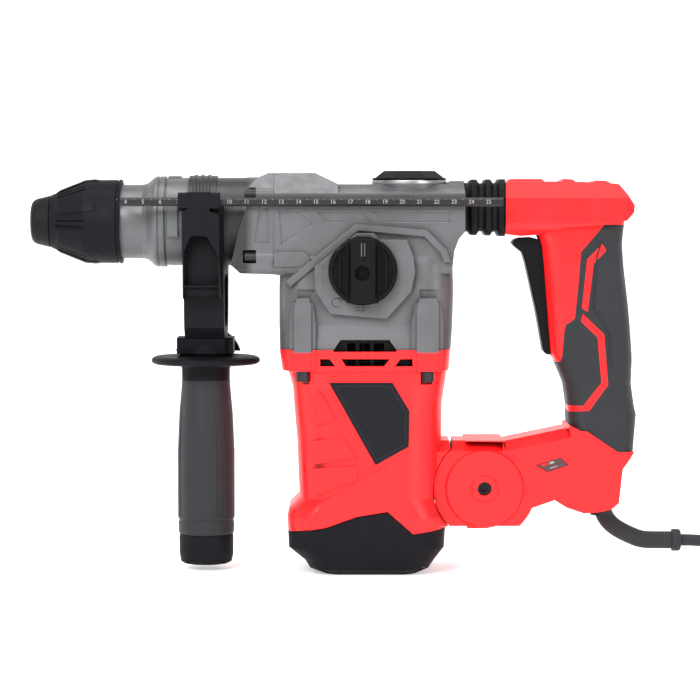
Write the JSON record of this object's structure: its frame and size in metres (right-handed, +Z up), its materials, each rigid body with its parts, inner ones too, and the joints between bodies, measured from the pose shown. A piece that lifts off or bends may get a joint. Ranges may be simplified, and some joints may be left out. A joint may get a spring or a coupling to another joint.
{
  "type": "rotary hammer",
  "caption": "Corded rotary hammer with an upright motor, a sprung rear handle, a swinging side handle with a depth rod, and a keyless chuck for slotted bits.",
  "frame": {"origin": "centre of the bit bore's mouth, on the spindle's axis", "axes": "+X along the spindle from the bit bore back to the rear handle, +Z up, +Y to the side away from the mode knob"},
  "size_m": [0.6263, 0.112, 0.2374],
  "materials": {
    "cast_housing": "satin grey cast metal",
    "red_shell": "satin red nylon",
    "dark_shell": "textured dark grey nylon",
    "soft_rubber": "moulded grey-black rubber",
    "black_plastic": "satin black nylon",
    "steel": "ground steel",
    "hard_steel": "hardened, oiled steel",
    "bright_steel": "bright turned ring",
    "black_steel": "blackened steel rod",
    "iron_stack": "stacked laminations",
    "copper": "enamelled copper wire",
    "brass": "brass pressing",
    "carbon": "pressed carbon",
    "lens": "smoked clear plastic",
    "badge": "blank dark plate"
  },
  "bodies": {
    "tool_body": {"gear_housing": "cast_housing", "front_housing": "cast_housing", "housing_screws": "black_steel", "grease_ring": "bright_steel", "grease_cap": "black_plastic", "motor_housing": "red_shell", "vent_baffle": "black_plastic", "end_cover": "dark_shell", "end_cover_screws": "hard_steel", "badge_plate": "badge", "stator_core": "iron_stack", "field_windings": "copper", "brush_holders": "brass", "carbon_brushes": "carbon", "spindle_bearings": "steel", "gear_bearings": "steel", "motor_bearings": "steel", "spindle_seal": "soft_rubber", "pivot_pin": "hard_steel", "bellows": "soft_rubber", "vibration_spring": "steel"},
    "rotor": {"armature_shaft": "steel", "armature_core": "iron_stack", "armature_winding": "copper", "commutator": "copper", "cooling_fan": "black_plastic"},
    "crank": {"crank_gear": "hard_steel"},
    "rod_link": {"connecting_rod": "steel"},
    "bevel_drive": {"bevel_shaft": "hard_steel"},
    "spindle": {"spindle_cylinder": "steel", "bevel_ring_gear": "hard_steel", "tool_holder": "hard_steel", "dust_cap": "soft_rubber", "chuck_spring": "steel"},
    "chuck": {"chuck_sleeve": "dark_shell"},
    "ball_lock": {"locking_ball": "bright_steel"},
    "piston_slider": {"piston": "steel"},
    "striker_slider": {"striker": "hard_steel"},
    "anvil": {"impact_bolt": "hard_steel"},
    "mode_selector": {"mode_knob": "black_plastic"},
    "side_handle": {"handle_bracket": "dark_shell", "clamp_band": "black_steel", "clamp_bolt": "hard_steel"},
    "side_grip": {"grip_core": "dark_shell", "grip_sleeve": "soft_rubber"},
    "depth_stop": {"depth_rod": "black_steel"},
    "rear_handle": {"handle_shell_near": "red_shell", "handle_shell_far": "red_shell", "grip_rubber_near": "soft_rubber", "grip_rubber_far": "soft_rubber", "handle_screws": "hard_steel", "power_switch": "dark_shell", "indicator_lens": "lens", "guide_rod": "steel", "cable_guard": "soft_rubber", "cord_lead": "soft_rubber", "cord_coil": "soft_rubber", "cord_plug": "soft_rubber", "cord_tie": "soft_rubber"},
    "trigger_lever": {"trigger": "black_plastic"}
  },
  "joints": [
    {"name": "motor_spin", "type": "hinge", "parent": "tool_body", "child": "rotor", "pos_m": [0.197, 0, -0.1], "axis": [0, 0, 1], "continuous": true},
    {"name": "crank_turn", "type": "hinge", "parent": "tool_body", "child": "crank", "pos_m": [0.219, 0, -0.018], "axis": [0, 0, 1], "continuous": true},
    {"name": "rod_swing", "type": "hinge", "parent": "crank", "child": "rod_link", "pos_m": [0.213, 0, -0.004], "axis": [0, 0, 1], "continuous": true},
    {"name": "bevel_turn", "type": "hinge", "parent": "tool_body", "child": "bevel_drive", "pos_m": [0.177, 0, -0.027], "axis": [0, 0, 1], "continuous": true},
    {"name": "spindle_turn", "type": "hinge", "parent": "tool_body", "child": "spindle", "pos_m": [0, 0, 0], "axis": [1, 0, 0], "continuous": true},
    {"name": "piston_slide", "type": "slide", "parent": "tool_body", "child": "piston_slider", "axis": [1, 0, 0], "range_m": [0, 0.012]},
    {"name": "striker_slide", "type": "slide", "parent": "spindle", "child": "striker_slider", "axis": [1, 0, 0], "range_m": [-0.005, 0.01]},
    {"name": "impact_bolt_slide", "type": "slide", "parent": "spindle", "child": "anvil", "axis": [1, 0, 0], "range_m": [0, 0.005]},
    {"name": "sleeve_slide", "type": "slide", "parent": "spindle", "child": "chuck", "axis": [1, 0, 0], "range_m": [0, 0.008], "stiffness_N_per_m": 1500, "springref_m": -0.004, "deforming": ["chuck_spring"]},
    {"name": "ball_lift", "type": "slide", "parent": "spindle", "child": "ball_lock", "axis": [0, 0, 1], "range_m": [0, 0.0016]},
    {"name": "mode_select", "type": "hinge", "parent": "tool_body", "child": "mode_selector", "pos_m": [0.1944, -0.04, -0.0283], "axis": [0, 1, 0], "range_deg": [-180, 0]},
    {"name": "side_handle_swing", "type": "hinge", "parent": "tool_body", "child": "side_handle", "pos_m": [0.101, 0, 0], "axis": [1, 0, 0], "range_deg": [-150, 10]},
    {"name": "side_grip_turn", "type": "hinge", "parent": "side_handle", "child": "side_grip", "pos_m": [0.101, 0, -0.14], "axis": [0, 0, 1], "range_deg": [0, 360]},
    {"name": "depth_rod_slide", "type": "slide", "parent": "side_handle", "child": "depth_stop", "axis": [1, 0, 0], "range_m": [-0.12, 0.02]},
    {"name": "rear_handle_tilt", "type": "hinge", "parent": "tool_body", "child": "rear_handle", "pos_m": [0.2662, 0, -0.1571], "axis": [0, 1, 0], "range_deg": [-2, 0], "stiffness_Nm_per_rad": 150, "springref_deg": 1.72, "deforming": ["bellows", "vibration_spring"]},
    {"name": "trigger_pull", "type": "hinge", "parent": "rear_handle", "child": "trigger_lever", "pos_m": [0.3083, 0, -0.0744], "axis": [0, 1, 0], "range_deg": [0, 5], "stiffness_Nm_per_rad": 3, "springref_deg": -4.58}
  ],
  "couplings": [
    {"joint": "crank_turn", "follows": "motor_spin", "ratio": -0.22222},
    {"joint": "rod_swing", "follows": "motor_spin", "ratio": 0.22222},
    {"joint": "bevel_turn", "follows": "motor_spin", "ratio": -0.25},
    {"joint": "spindle_turn", "follows": "motor_spin", "ratio": 0.0625},
    {"joint": "ball_lift", "follows": "sleeve_slide", "ratio": 0.2}
  ]
}
